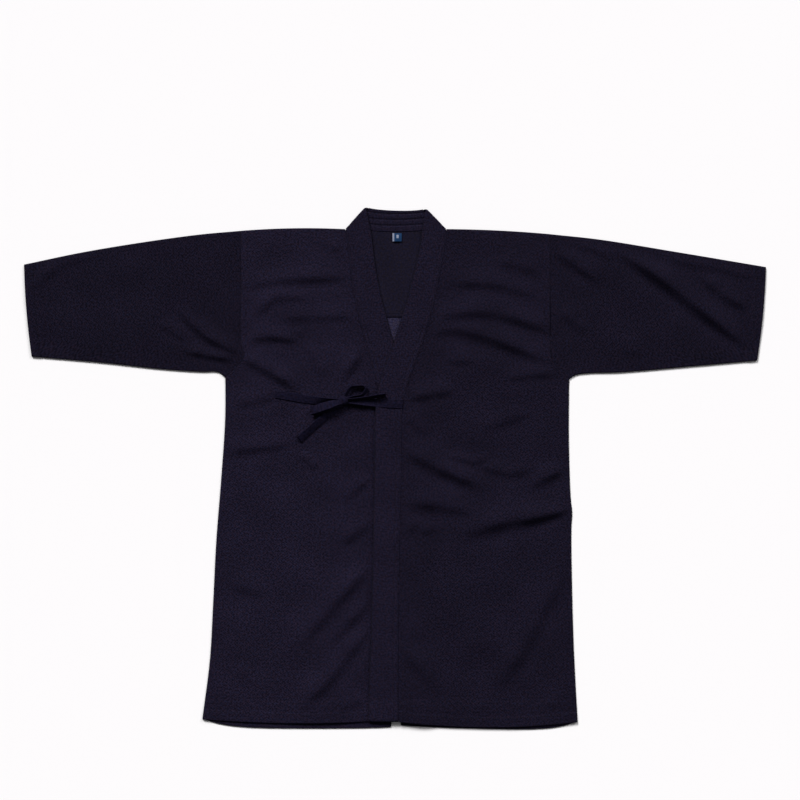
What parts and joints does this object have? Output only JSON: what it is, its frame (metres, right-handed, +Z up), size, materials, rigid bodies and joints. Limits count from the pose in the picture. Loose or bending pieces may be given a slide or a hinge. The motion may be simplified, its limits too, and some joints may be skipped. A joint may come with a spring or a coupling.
{
  "type": "kendo jacket",
  "caption": "Navy jersey training jacket laid flat, with wide straight sleeves, a crossed banded collar and a cloth tie bowed at the side.",
  "frame": {"origin": "on the surface it lies on, under the middle of the jacket's outline", "axes": "+X along the sleeves towards the wearer's left, +Y towards the collar, +Z up, out of the front"},
  "size_m": [1.32, 0.9312, 0.0242],
  "materials": {
    "jersey": "dark navy polyester jersey knitted to look like diagonal sashiko, matt",
    "lining": "plain dark navy lining, matt",
    "tape": "dark navy sewn tape, slightly bluer and smoother than the jersey",
    "label": "small woven size label, mid blue"
  },
  "bodies": {
    "root": {"body_right": "jersey", "body_left": "jersey", "sleeve_right": "jersey", "sleeve_left": "jersey", "collar_neck": "jersey", "collar_right": "jersey", "collar_left": "jersey", "back_lining": "lining", "tie_right": "tape", "tie_left": "tape", "bow_loop_right": "tape", "bow_loop_left": "tape", "bow_end_right": "tape", "bow_end_left": "tape", "bow_knot": "tape", "size_label": "label"}
  },
  "joints": []
}
